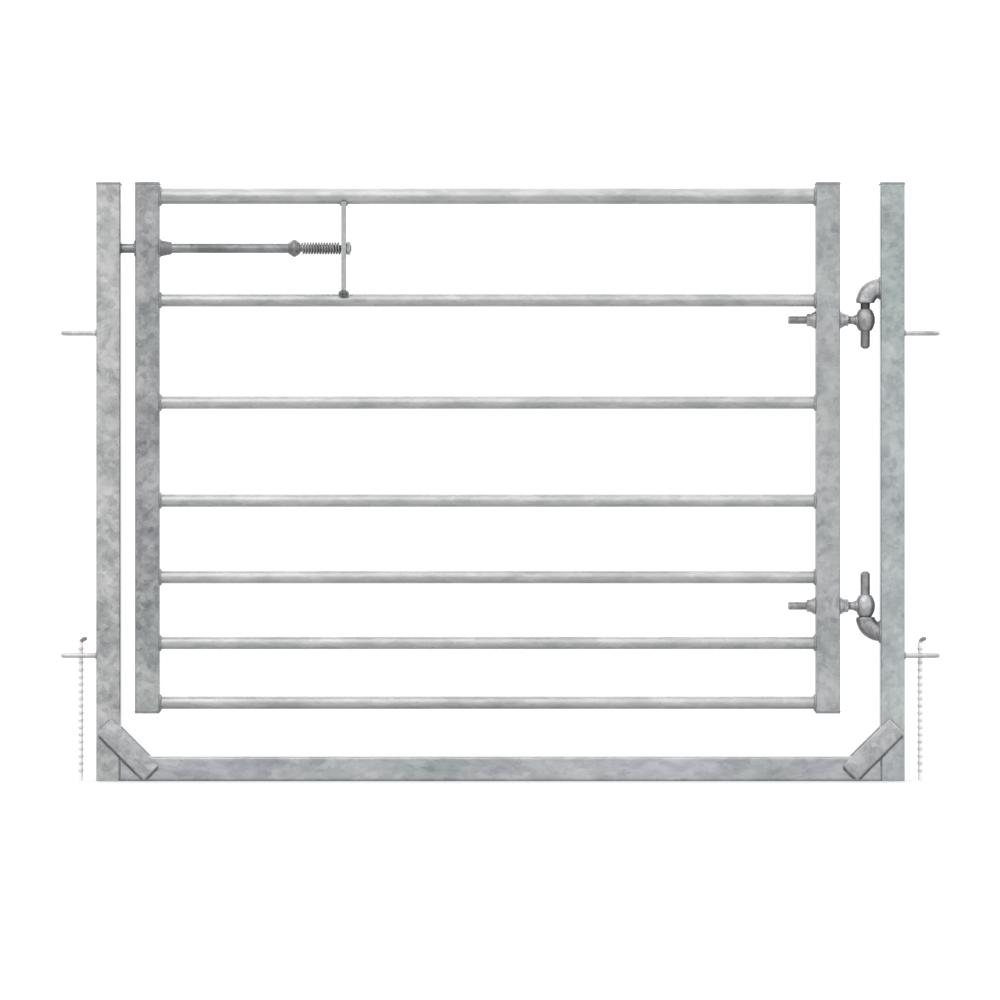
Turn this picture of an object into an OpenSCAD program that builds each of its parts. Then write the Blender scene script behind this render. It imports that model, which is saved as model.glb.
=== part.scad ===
// Livestock gate hung in a standing frame: a leaf of seven bars on two pin hinges, with a spring bolt.
// +X runs to the hinge side, +Y to the back and +Z up, in millimetres.
// The origin is on the ground, under the middle of the bottom rail.

/* [Frame] */
// Width over both posts
frame_w = 1350; // [1150:10:1700]
// Height of the posts
frame_h = 1000; // [960:10:1150]
// Side of the square box section
box_w = 40; // [38:1:50]
// Wall of the box section
box_wall = 3; // [2:0.5:4]
// Outer corner radius of the box section
box_corner = 4; // [3.5:0.5:5]
// Plate that closes a box end
cap_t = 3; // [2:0.5:6]

/* [Corner braces] */
// Width of a brace strap
brace_w = 34; // [30:1:50]
// Thickness of a brace strap
brace_t = 6; // [4:1:10]
// Open side of the corner that a brace leaves, along post and rail
brace_leg = 50; // [45:1:60]
// How far a brace's ends stay inside the outer edges of the frame
brace_inset = 2; // [1:0.5:6]

/* [Gate leaf] */
// Gap from the latch post to the leaf
latch_gap = 25; // [20:1:35]
// Gap from the leaf to the hinge post
hinge_gap = 68; // [60:1:85]
// Outer diameter of the top rail
top_rail_d = 26.9; // [21.3:0.1:33.7]
// Outer diameter of the other rails
rail_d = 21.3; // [17.2:0.1:26.9]
// Wall of the rail tubes
rail_wall = 2.6; // [2:0.1:3.2]
// Height of the leaf's underside above the ground
ground_gap = 112.5; // [95:0.5:140]
// Depth of the top rail's centre below the top of the leaf
top_inset = 23; // [20:1:30]
// Height of the lowest rail's centre above the underside of the leaf
bottom_inset = 17.5; // [15:0.5:25]
// Share of the leaf's height from rail 1, the top rail, to rail 2
share_1 = 174; // [150:1:200]
// Share of the leaf's height from rail 2 to rail 3
share_2 = 171; // [140:1:200]
// Share of the leaf's height from rail 3 to rail 4
share_3 = 164; // [130:1:190]
// Share of the leaf's height from rail 4 to rail 5
share_4 = 128; // [100:1:160]
// Share of the leaf's height from rail 5 to rail 6
share_5 = 110; // [90:1:140]
// Share of the leaf's height from rail 6 to rail 7
share_6 = 100; // [70:1:130]

/* [Hinges] */
// Diameter of the hinge pins
pin_d = 16; // [14:1:18]
// Length of a hinge pin beyond its shoulder
pin_l = 76; // [65:1:90]
// Distance from the hinge post to the hinge axis, which is also the bend radius of a gudgeon
pin_offset = 25; // [22:1:32]
// Diameter of a gudgeon's bent root
gudgeon_d = 32; // [28:1:34]
// Largest diameter of an eye
eye_d = 33; // [30:1:36]
// Height of an eye
eye_h = 36; // [30:1:42]
// Radius of an eye's crowned side
eye_crown = 30; // [28:1:60]
// Depth of the top eye's centre below rail 2
top_eye_drop = 33; // [30:1:60]
// Height of the bottom eye's centre above the middle of the gap between rails 5 and 6
bottom_eye_lift = 7; // [0:1:15]
// Room between the top eye and the shoulder above it
lift_room = 10; // [6:1:16]
// Diameter of an eye bolt's threaded stem
stem_d = 14; // [12:1:16]
// Reach of a stem from the hinge axis
stem_l = 129; // [120:1:150]
// Width across flats of the stem's nuts
nut_flats = 19; // [18:1:24]
// Height of the stem's nuts
nut_h = 15; // [12:1:18]
// Diameter of the flange on the stem's nuts
flange_d = 29; // [27:1:33]
// Height of the flange, with its slope
flange_h = 11; // [6:0.5:11.5]
// Height of the flange's straight rim
flange_rim = 2; // [1:0.5:3]

/* [Spring bolt] */
// Diameter of the bolt
bolt_d = 16; // [15:1:18]
// Diameter of the bolt's tail, which carries the spring and runs through the strap
tail_d = 12; // [10:0.5:13]
// Depth of the bolt's centre below the top of the leaf
bolt_drop = 110; // [90:1:125]
// How far the shot bolt reaches into the latch post
bolt_reach = 13; // [8:1:20]
// Diameter of the keeper hole in the latch post
keeper_d = 22; // [20:1:26]
// Chamfer on the bolt's nose
nose = 2; // [1:0.5:4]
// Diameter of the guide bush where it sits on the latch stile
guide_d = 27; // [25:1:32]
// Diameter of the guide bush at its tip
guide_tip = 20; // [19.5:0.5:23]
// Length of the guide bush
guide_l = 20; // [12:1:30]
// Length of the guide bush that doesn't taper
guide_rim = 5; // [2:1:8]
// Distance from the latch stile to the bolt strap
strap_reach = 304; // [260:1:340]
// Thickness of the bolt strap
strap_t = 8; // [6:1:10]
// Depth of the bolt strap, front to back
strap_w = 30; // [26:1:36]
// How far the strap's saddled ends wrap over the bars
saddle = 4; // [2:0.5:6]
// Length of the spring with the bolt shot
spring_l = 68; // [62:1:80]
// Diameter of the spring wire
wire_d = 3; // [2:0.1:3.2]
// Number of turns of the spring
spring_turns = 14; // [10:1:16]
// Diameter of the collar by which the bolt is drawn
collar_d = 29; // [26:1:34]
// Length of the collar
collar_l = 20; // [14:1:26]
// Width of the collar's rim
collar_rim = 4; // [3:1:8]
// Wall of the collar at its ends
collar_wall = 1; // [0.8:0.1:2]
// Width across flats of the end nut
end_nut_flats = 19; // [17:1:22]
// Height of the end nut
end_nut_h = 7; // [6:1:13]
// Thread that shows past the end nut
thread_end = 1.5; // [1:0.5:6]

/* [Linking loops] */
// Diameter of a loop's round bar
loop_bar = 8; // [6:0.5:9]
// Reach of a loop from its post
loop_reach = 60; // [50:1:70]
// Clear width inside a loop
loop_gap = 14; // [13:0.5:16]
// Height of the upper loops
upper_loop_z = 748; // [700:1:800]
// Height of the lower loops
lower_loop_z = 209; // [180:1:230]

/* [Ground pins] */
// Core diameter of a ground pin
stake_d = 6.5; // [6:0.5:9]
// Distance from the post to a ground pin's centre
stake_reach = 27; // [20:1:34]
// Height of the straight shaft's top above its loop
stake_rise = 20; // [10:1:60]
// Height of the ribs on a ground pin
rib_h = 1.3; // [0.8:0.1:2]
// Spacing of the ribs
rib_pitch = 12; // [9:1:16]
// Bend radius of a ground pin's head
head_bend = 8; // [6:1:12]
// Straight length of a ground pin's head
head_l = 2; // [1:1:12]

/* [Fits] */
// Radial clearance of an eye on its hinge pin
hinge_fit = 0.08; // [0.02:0.01:0.1]
// Radial clearance of the bolt in its guide, and of its tail in the strap
slide_fit = 0.3; // [0.2:0.05:0.5]
// Radial clearance of the spring on the bolt's tail
spring_fit = 1.4; // [0.4:0.1:1.6]
// Radial clearance of the bolt in the latch stile and of a stem in the hinge stile
drill_fit = 0.8; // [0.5:0.1:1.5]
// Radial clearance of nuts and collar on the rods that carry them
thread_fit = 0.15; // [0.1:0.05:0.3]
// Gap left for the weld where a strap is saddled over a round bar
weld_gap = 0.1; // [0.05:0.05:0.3]
// Gap between a loose piece and its seat
seat_gap = 0.3; // [0.2:0.05:0.5]

/* [Hidden] */
$fn = 64;
// Extra length of a cut past the face that it leaves through
over = 1;

galvanised = [0.72, 0.74, 0.75];
bright_zinc = [0.80, 0.82, 0.83];
dull_steel = [0.45, 0.46, 0.47];
spring_steel = [0.33, 0.33, 0.35];
weathered = [0.62, 0.57, 0.54];

// Frame lines
post_x = frame_w/2 - box_w/2;
face_x = frame_w/2 - box_w;
outer_x = frame_w/2;

// Leaf lines
latch_x = -face_x + latch_gap + box_w/2;
hinge_x = face_x - hinge_gap - box_w/2;
rail_x0 = latch_x + box_w/2;
rail_x1 = hinge_x - box_w/2;
shares = [share_1, share_2, share_3, share_4, share_5, share_6];
function total(list, n) = n == 0 ? 0 : list[n - 1] + total(list, n - 1);
rail_span = frame_h - top_inset - ground_gap - bottom_inset;
function rail_z(i) = frame_h - top_inset - rail_span*total(shares, i)/total(shares, len(shares));

// Hinge lines
axis_x = face_x - pin_offset;
top_eye_z = rail_z(1) - top_eye_drop;
bottom_eye_z = (rail_z(4) + rail_z(5))/2 + bottom_eye_lift;
top_shoulder_z = top_eye_z + eye_h/2 + lift_room;
bottom_shoulder_z = bottom_eye_z - eye_h/2 - seat_gap;

// Bolt lines, from the latch post to the hinge side
bolt_z = frame_h - bolt_drop;
bolt_x0 = -face_x - bolt_reach;
strap_x0 = rail_x0 + strap_reach;
strap_x1 = strap_x0 + strap_t;
end_nut_x = strap_x1 + seat_gap;
bolt_x1 = end_nut_x + end_nut_h + thread_end;
spring_x0 = strap_x0 - seat_gap - spring_l;
shoulder_x = spring_x0 - seat_gap;
collar_x = shoulder_x - collar_l;

// Section of the box tube, or of its bore
module rounded_square(w, r) {
    square([w - 2*r, w], center = true);
    square([w, w - 2*r], center = true);
    for (sx = [-1, 1], sy = [-1, 1])
        translate([sx*(w/2 - r), sy*(w/2 - r)]) circle(r);
}

// Length of box tube standing on z = 0
module box_tube(l) {
    linear_extrude(l) difference() {
        rounded_square(box_w, box_corner);
        rounded_square(box_w - 2*box_wall, box_corner - box_wall/2);
    }
}

// Plate over the end of a box tube
module box_cap() {
    linear_extrude(cap_t) rounded_square(box_w, box_corner);
}

// Round bar or hole along X, from x0 to x1
module x_rod(d, x0, x1) {
    translate([x0, 0, 0]) rotate([0, 90, 0]) cylinder(d = d, h = x1 - x0);
}

// Hexagonal nut along X, bored to pass a rod
module x_nut(flats, h, rod_d) {
    rotate([0, 90, 0]) difference() {
        cylinder(d = flats/cos(30), h = h, $fn = 6);
        translate([0, 0, -over]) cylinder(d = rod_d + 2*thread_fit, h = h + 2*over);
    }
}

// Hexagonal nut along X that stands on its sloping flange at x = 0, bored to pass a stem
module flange_nut() {
    flange_top = nut_flats - flange_rim/2;
    rotate([0, 90, 0]) difference() {
        union() {
            cylinder(d = nut_flats/cos(30), h = nut_h, $fn = 6);
            cylinder(d = flange_d, h = flange_rim);
            translate([0, 0, flange_rim])
                cylinder(d1 = flange_d, d2 = flange_top, h = flange_h - flange_rim);
        }
        translate([0, 0, -over]) cylinder(d = stem_d + 2*thread_fit, h = nut_h + 2*over);
    }
}

// Standing frame

module latch_post() {
    color(galvanised) difference() {
        translate([-post_x, 0, 0]) box_tube(frame_h - cap_t);
        translate([0, 0, bolt_z]) x_rod(keeper_d, -face_x - box_wall - over, -face_x + over);
    }
}

module hinge_post() {
    color(galvanised) translate([post_x, 0, 0]) box_tube(frame_h - cap_t);
}

module post_cap(side) {
    color(galvanised) translate([side*post_x, 0, frame_h - cap_t]) box_cap();
}

module bottom_rail() {
    color(galvanised) translate([-face_x, 0, box_w/2]) rotate([0, 90, 0]) box_tube(2*face_x);
}

// Square-ended strap across a lower corner. Its outer edge runs by the inside corner of the frame,
// and its length keeps the end corners inside the outer edges of post and rail.
module corner_brace(side, face) {
    outer_mid = (brace_leg/sqrt(2) - brace_w)/sqrt(2);
    brace_l = 2*sqrt(2)*(box_w - brace_inset + outer_mid);
    mid = outer_mid + brace_w/2/sqrt(2);
    color(galvanised) translate([side*(face_x - mid), face*(box_w + brace_t)/2, box_w + mid])
        rotate([0, side*45, 0]) cube([brace_w, brace_t, brace_l], center = true);
}

// Hinge hook: a quarter bend out of the post, a shoulder, and a pin that points up or down
module gudgeon(shoulder_z, up) {
    color(dull_steel) translate([face_x, 0, shoulder_z]) mirror([0, 0, up ? 0 : 1]) {
        rotate([90, 0, 0]) rotate([0, 0, 180]) rotate_extrude(angle = 90)
            translate([pin_offset, 0]) circle(d = gudgeon_d);
        translate([-pin_offset, 0, 0]) cylinder(d = pin_d, h = pin_l - pin_d/4);
        translate([-pin_offset, 0, pin_l - pin_d/4]) cylinder(d1 = pin_d, d2 = pin_d/2, h = pin_d/4);
    }
}

// Hairpin of round bar on the outer face of a post
module link_loop(side, z) {
    leg_y = (loop_gap + loop_bar)/2;
    bend_x = loop_reach - leg_y - loop_bar/2;
    color(bright_zinc) translate([side*outer_x, 0, z]) rotate([0, 0, side > 0 ? 0 : 180]) {
        for (y = [-leg_y, leg_y]) translate([0, y, 0]) x_rod(loop_bar, 0, bend_x);
        translate([bend_x, 0, 0]) rotate([0, 0, -90]) rotate_extrude(angle = 180)
            translate([leg_y, 0]) circle(d = loop_bar);
    }
}

// Ribbed pin in a lower loop, with its head bent to +X. The ribs are spaced from the loop,
// where one of them leans on the back leg.
module ground_pin(side) {
    stake_r = stake_d/2;
    stake_y = loop_gap/2 - seat_gap - stake_r - rib_h;
    stake_h = lower_loop_z + stake_rise;
    first_rib = rib_pitch + lower_loop_z%rib_pitch;
    color(weathered) translate([side*(outer_x + stake_reach), stake_y, 0]) {
        cylinder(r = stake_r, h = stake_h);
        for (z = [first_rib:rib_pitch:stake_h - 2*rib_h]) translate([0, 0, z])
            rotate_extrude() polygon([[0, -2*rib_h], [stake_r, -2*rib_h], [stake_r + rib_h, -rib_h],
                [stake_r + rib_h, rib_h], [stake_r, 2*rib_h], [0, 2*rib_h]]);
        translate([head_bend, 0, stake_h]) {
            rotate([90, 0, 0]) rotate([0, 0, 90]) rotate_extrude(angle = 90)
                translate([head_bend, 0]) circle(stake_r);
            translate([0, 0, head_bend]) x_rod(stake_d, 0, head_l);
        }
    }
}

// Gate leaf

module latch_stile() {
    color(galvanised) difference() {
        translate([latch_x, 0, ground_gap + cap_t]) box_tube(frame_h - ground_gap - 2*cap_t);
        translate([0, 0, bolt_z])
            x_rod(bolt_d + 2*drill_fit, latch_x - box_w/2 - over, latch_x + box_w/2 + over);
    }
}

module hinge_stile() {
    color(galvanised) difference() {
        translate([hinge_x, 0, ground_gap + cap_t]) box_tube(frame_h - ground_gap - 2*cap_t);
        for (z = [top_eye_z, bottom_eye_z]) translate([0, 0, z])
            x_rod(stem_d + 2*drill_fit, hinge_x - box_w/2 - over, hinge_x + box_w/2 + over);
    }
}

module stile_caps(x) {
    color(galvanised) for (z = [ground_gap, frame_h - cap_t]) translate([x, 0, z]) box_cap();
}

// Round tube between the stiles, counted from the top
module leaf_rail(i) {
    d = i == 0 ? top_rail_d : rail_d;
    color(bright_zinc) translate([0, 0, rail_z(i)]) difference() {
        x_rod(d, rail_x0, rail_x1);
        x_rod(d - 2*rail_wall, rail_x0 - over, rail_x1 + over);
    }
}

// Threaded stem with a crowned eye, bored for the hinge pin
module eye_bolt(z) {
    color(dull_steel) translate([axis_x, 0, z]) difference() {
        union() {
            x_rod(stem_d, -stem_l, 0);
            rotate_extrude() intersection() {
                translate([eye_d/2 - eye_crown, 0]) circle(eye_crown);
                translate([0, -eye_h/2]) square([eye_d, eye_h]);
            }
        }
        translate([0, 0, -eye_h/2 - over]) cylinder(d = pin_d + 2*hinge_fit, h = eye_h + 2*over);
    }
}

// Two nuts that clamp the hinge stile between their flanges
module hinge_nuts(z) {
    color(dull_steel) translate([hinge_x, 0, z]) for (side = [-1, 1])
        translate([side*box_w/2, 0, 0]) mirror([side > 0 ? 0 : 1, 0, 0]) flange_nut();
}

// Upright flat bar between the two upper rails, saddled over both and drilled for the bolt
module bolt_strap() {
    z0 = rail_z(1) + rail_d/2 - saddle;
    z1 = rail_z(0) - top_rail_d/2 + saddle;
    color(bright_zinc) difference() {
        translate([strap_x0, -strap_w/2, z0]) cube([strap_t, strap_w, z1 - z0]);
        translate([0, 0, rail_z(0)]) x_rod(top_rail_d + 2*weld_gap, strap_x0 - over, strap_x1 + over);
        translate([0, 0, rail_z(1)]) x_rod(rail_d + 2*weld_gap, strap_x0 - over, strap_x1 + over);
        translate([0, 0, bolt_z]) x_rod(tail_d + 2*slide_fit, strap_x0 - over, strap_x1 + over);
    }
}

// Tapered bush on the latch stile, in which the bolt runs
module bolt_guide() {
    bore_r = bolt_d/2 + slide_fit;
    color(dull_steel) translate([rail_x0, 0, bolt_z]) rotate([0, 90, 0]) rotate_extrude()
        polygon([[bore_r, 0], [guide_d/2, 0], [guide_d/2, guide_rim],
            [guide_tip/2, guide_l], [bore_r, guide_l]]);
}

// Spring bolt

// Round bar with a chamfered nose, turned down to a tail whose shoulder takes the push of the spring
module latch_bolt() {
    color(dull_steel) translate([0, 0, bolt_z]) {
        translate([bolt_x0, 0, 0]) rotate([0, 90, 0]) cylinder(d1 = bolt_d - 2*nose, d2 = bolt_d, h = nose);
        x_rod(bolt_d, bolt_x0 + nose, shoulder_x);
        x_rod(tail_d, shoulder_x, bolt_x1);
    }
}

// Collar with sloping sides at the bolt's shoulder, by which the bolt is drawn
module bolt_collar() {
    bore_r = bolt_d/2 + thread_fit;
    foot_r = bore_r + collar_wall;
    color(dull_steel) translate([collar_x, 0, bolt_z]) rotate([0, 90, 0]) rotate_extrude()
        polygon([[bore_r, 0], [foot_r, 0], [collar_d/2, (collar_l - collar_rim)/2],
            [collar_d/2, (collar_l + collar_rim)/2], [foot_r, collar_l], [bore_r, collar_l]]);
}

module bolt_end_nut() {
    color(dull_steel) translate([end_nut_x, 0, bolt_z]) x_nut(end_nut_flats, end_nut_h, tail_d);
}

// Coil spring: a wire of hexagonal section swept along a helix round the bolt's tail
module bolt_spring() {
    steps = 14;
    coil_r = (tail_d/2 + spring_fit)/cos(180/steps) + wire_d/2;
    rings = spring_turns*steps;
    sides = 6;
    rise = (spring_l - wire_d)/rings;
    lean = atan2(rise*rings/spring_turns, 2*PI*coil_r);
    function ring(i) = [for (k = [0:sides - 1])
        let (a = 360*i/steps, b = 360*k/sides, r = coil_r + wire_d/2*cos(b), t = wire_d/2*sin(b))
        [wire_d/2 + i*rise + t*cos(lean), r*cos(a) + t*sin(lean)*sin(a),
            r*sin(a) - t*sin(lean)*cos(a)]];
    points = [for (i = [0:rings]) each ring(i)];
    walls = [for (i = [0:rings - 1], k = [0:sides - 1])
        [i*sides + k, i*sides + (k + 1)%sides, (i + 1)*sides + (k + 1)%sides, (i + 1)*sides + k]];
    ends = [[for (k = [sides - 1:-1:0]) k], [for (k = [0:sides - 1]) rings*sides + k]];
    color(spring_steel) translate([spring_x0, 0, bolt_z])
        polyhedron(points = points, faces = concat(walls, ends), convexity = 10);
}

latch_post();
hinge_post();
post_cap(-1);  // latch_post_cap
post_cap(1);  // hinge_post_cap
bottom_rail();
corner_brace(-1, -1);  // front_brace_left
corner_brace(1, -1);  // front_brace_right
corner_brace(-1, 1);  // back_brace_left
corner_brace(1, 1);  // back_brace_right
gudgeon(top_shoulder_z, false);  // top_gudgeon
gudgeon(bottom_shoulder_z, true);  // bottom_gudgeon
link_loop(-1, upper_loop_z);  // upper_left_loop
link_loop(1, upper_loop_z);  // upper_right_loop
link_loop(-1, lower_loop_z);  // lower_left_loop
link_loop(1, lower_loop_z);  // lower_right_loop
ground_pin(-1);  // left_ground_pin
ground_pin(1);  // right_ground_pin
latch_stile();
hinge_stile();
stile_caps(latch_x);  // latch_stile_caps
stile_caps(hinge_x);  // hinge_stile_caps
leaf_rail(0);  // top_rail
leaf_rail(1);  // rail_2
leaf_rail(2);  // rail_3
leaf_rail(3);  // rail_4
leaf_rail(4);  // rail_5
leaf_rail(5);  // rail_6
leaf_rail(6);  // rail_7
eye_bolt(top_eye_z);  // top_eye_bolt
eye_bolt(bottom_eye_z);  // bottom_eye_bolt
hinge_nuts(top_eye_z);  // top_hinge_nuts
hinge_nuts(bottom_eye_z);  // bottom_hinge_nuts
bolt_strap();
bolt_guide();
latch_bolt();
bolt_collar();
bolt_end_nut();
bolt_spring();
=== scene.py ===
"""Looks of a livestock gate in its standing frame: finish, welds, threads, spring and studio."""

from math import pi, radians

import bpy
import numpy as np
from bpy.types import Operator, Panel, PropertyGroup
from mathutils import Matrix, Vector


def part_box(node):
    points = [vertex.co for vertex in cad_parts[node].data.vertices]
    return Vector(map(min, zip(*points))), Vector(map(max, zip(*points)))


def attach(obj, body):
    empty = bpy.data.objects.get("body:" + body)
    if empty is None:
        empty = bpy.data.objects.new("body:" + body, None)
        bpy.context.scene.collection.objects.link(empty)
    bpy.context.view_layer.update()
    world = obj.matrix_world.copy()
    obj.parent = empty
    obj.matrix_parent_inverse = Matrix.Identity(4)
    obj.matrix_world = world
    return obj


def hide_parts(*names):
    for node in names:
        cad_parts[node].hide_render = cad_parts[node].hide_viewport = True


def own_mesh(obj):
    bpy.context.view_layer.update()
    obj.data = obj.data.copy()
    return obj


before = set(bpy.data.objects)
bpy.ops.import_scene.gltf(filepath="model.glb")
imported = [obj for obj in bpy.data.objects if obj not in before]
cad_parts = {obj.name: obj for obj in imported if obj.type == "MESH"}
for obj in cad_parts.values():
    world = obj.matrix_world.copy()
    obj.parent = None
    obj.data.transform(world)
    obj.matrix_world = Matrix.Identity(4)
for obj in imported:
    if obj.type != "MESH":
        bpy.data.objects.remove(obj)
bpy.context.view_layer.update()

bl_info = {
    "name": "Livestock gate looks",
    "version": (1, 0, 0),
    "blender": (4, 5, 0),
    "location": "View3D > Sidebar > Gate",
    "description": "Zinc finish, welds, threads and spring of a livestock gate in its frame",
    "category": "Object",
}

MM = 0.001
X, Y, Z = np.eye(3)
RNG = np.random.default_rng(7)
# Columns of points round turned forms, and round those that need more or fewer
SIDES, RAIL_SIDES, FORGING_SIDES, NUT_SIDES, FLOOR_SIDES = 48, 128, 64, 96, 96
BAR_SIDES, STEM_SIDES, WIRE_SIDES, BEAD_SIDES = 40, 32, 12, 10
# Rows of points in a pitch of thread, in a turn of the spring and, by their spacing, along a weld
THREAD_ROWS, COIL_ROWS, WELD_STEP = 7, 44, 0.42 * MM
# Edges that bend by more than this are sharp
SHARP = radians(34)
# Outer corner of the box section, and the play of nuts and collar on their bars
BOX_CORNER, PLAY = 4 * MM, 0.05 * MM

# Box sections, each with a finish of its own; the names of their end plates begin as theirs do
BOX_NODES = ("latch_post", "hinge_post", "latch_stile", "hinge_stile", "bottom_rail")
LOOP_NODES = {
    "loop": ("upper_left_loop", "upper_right_loop"),
    "low_loop": ("lower_left_loop", "lower_right_loop"),
}
RAIL_NODES = ("top_rail", *(f"rail_{count}" for count in range(2, 8)))
BRACE_NODES = ("front_brace_left", "front_brace_right", "back_brace_left", "back_brace_right")
GUDGEON_NODES = ("top_gudgeon", "bottom_gudgeon")

# What each zinc finish changes in zinc()
ZINC_FINISHES = {
    "latch_post": {"mottle": 1.2},
    "hinge_post": {"mottle": 0.9, "hue_share": 0.7},
    "latch_stile": {"mottle": 1.4, "hue_share": 0.5},
    "hinge_stile": {"mottle": 0.9, "hue_share": 0.3},
    "bottom_rail": {"mottle": 0.9, "hue_share": 0.5, "scale": (0.5, 1.0, 1.0)},
    "rail": {"mottle": 0.75, "lift": 0.03, "relief": 0.1, "scale": (0.35, 1.0, 1.0)},
    "loop": {"mottle": 0.9},
    "low_loop": {"mottle": 0.9},
    "strap": {"mottle": 0.7, "lift": 0.05},
    "brace": {"mottle": 1.15, "hue_share": 0.5},
    "weld": {"scale": (1.6, 1.6, 1.6)},
    "seam": {"scale": (1.6, 1.6, 1.6)},
    "weld_scale": {"scale": (2.2, 2.2, 2.2)},
}
# Stretch of each steel finish's streaks, and whether it has spots of rust
STEEL_FINISHES = {
    "hinge_light": ((1.0, 1.0, 0.5), True),
    "hinge_dark": ((1.0, 1.0, 0.5), True),
    "bolt_steel": ((0.08, 1.0, 1.0), False),
    "bush_steel": ((1.0, 1.0, 1.0), False),
    "spring_steel": ((1.0, 1.0, 1.0), False),
}


def length(name, description, default):
    """A size, given in millimetres and kept in metres."""
    return bpy.props.FloatProperty(name=name, description=description, default=default * MM,
                                   unit="LENGTH", precision=5, min=0.0)


def colour(name, description, default):
    """A colour in linear light."""
    return bpy.props.FloatVectorProperty(name=name, description=description, default=default,
                                         subtype="COLOR", size=3, min=0.0, max=1.0)


def cast(name, default):
    """A colour that multiplies those of the zinc on the pieces of that name."""
    return colour(name, "Cast of the zinc on the " + name.lower(), default)


class GateSizes(PropertyGroup):
    """Sizes of what is added to the solids."""

    rail_wall: length("Rail wall", "Wall of a rail's tube", 2.6)
    rail_bead: length("Rail weld", "Radius of the weld round a rail's end", 3.3)
    root_bead: length("Gudgeon weld", "Radius of the weld round a gudgeon's root", 2.8)
    loop_bead: length("Loop weld", "Radius of the weld round a loop's foot", 2.1)
    seam_bead: length("Seam weld", "Radius of the weld where bottom rail and post meet", 2.2)
    brace_w: length("Brace", "Width of a brace strap", 34)
    brace_bead: length("Brace weld", "Radius of the weld along a brace's ends", 2.6)
    # The bead along a brace's lower edge is coloured dark as painted shadow
    brace_shadow_bead: length("Brace fillet", "Radius of the weld along a brace's lower edge", 4.2)
    cap_bead: length("Cap weld", "Radius of the weld round an end plate", 1.1)
    foot_bead: length("Strap weld", "Radius of the weld at the bolt strap's upper foot", 2.6)
    foot_blob: length("Strap blob", "Radius of the weld at the bolt strap's lower foot", 5.2)
    keeper_ring: length("Keeper weld", "Circle of the weld on the latch stile's outer face", 11.6)
    ripple: length("Weld ripple", "Spacing of the ripples on a weld", 2.3)
    edge_round: length("Brace edge", "Rounding of a brace's edges", 1.2)
    shoulder_round: length("Shoulder edge", "Rounding of a gudgeon's shoulder", 3)
    stem_d: length("Stem", "Diameter of an eye bolt's stem", 14)
    stem_pitch: length("Stem thread", "Pitch of the thread on a stem", 2)
    stem_depth: length("Stem thread depth", "Depth of the thread on a stem", 0.7)
    nut_flats: length("Hinge nut", "Width across flats of the hinge nuts", 19)
    flange_h: length("Nut flange", "Height of a hinge nut's flange with its slope", 11)
    flange_rim: length("Nut flange rim", "Height of the flange's straight rim", 2)
    eye_crown: length("Eye crown", "Radius of an eye's crowned side", 30)
    eye_flare: length("Eye flare", "Growth of a stem's radius where it meets the eye", 3.2)
    pin_d: length("Hinge pin", "Diameter of a hinge pin", 16)
    tail_d: length("Bolt tail", "Diameter of the bolt's tail", 12)
    tail_pitch: length("Tail thread", "Pitch of the thread on the tail", 1.75)
    tail_depth: length("Tail thread depth", "Depth of the thread on the tail", 0.75)
    tail_run: length("Tail thread run", "Length of the thread on the spring's side of the strap", 14)
    guide_tip: length("Guide tip", "Diameter of the guide bush at its tip", 20)
    guide_rim: length("Guide rim", "Length of the guide bush that doesn't taper", 5)
    collar_wall: length("Collar wall", "Wall of the drawing collar at its ends", 1.15)
    collar_rim: length("Collar rim", "Width of the drawing collar's rim", 4)
    end_nut_flats: length("End nut", "Width across flats of the end nut", 19)
    wire_d: length("Spring wire", "Diameter of the spring's wire", 3)
    coil_turns: bpy.props.IntProperty(name="Spring turns", description="Turns of the spring",
                                      default=14, min=3)
    stake_d: length("Ground pin", "Core diameter of a ground pin", 6.5)
    stake_bend: length("Ground pin bend", "Bend radius of a ground pin's head", 8)
    rib_pitch: length("Rib spacing", "Spacing of the ribs on a ground pin", 12)


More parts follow.
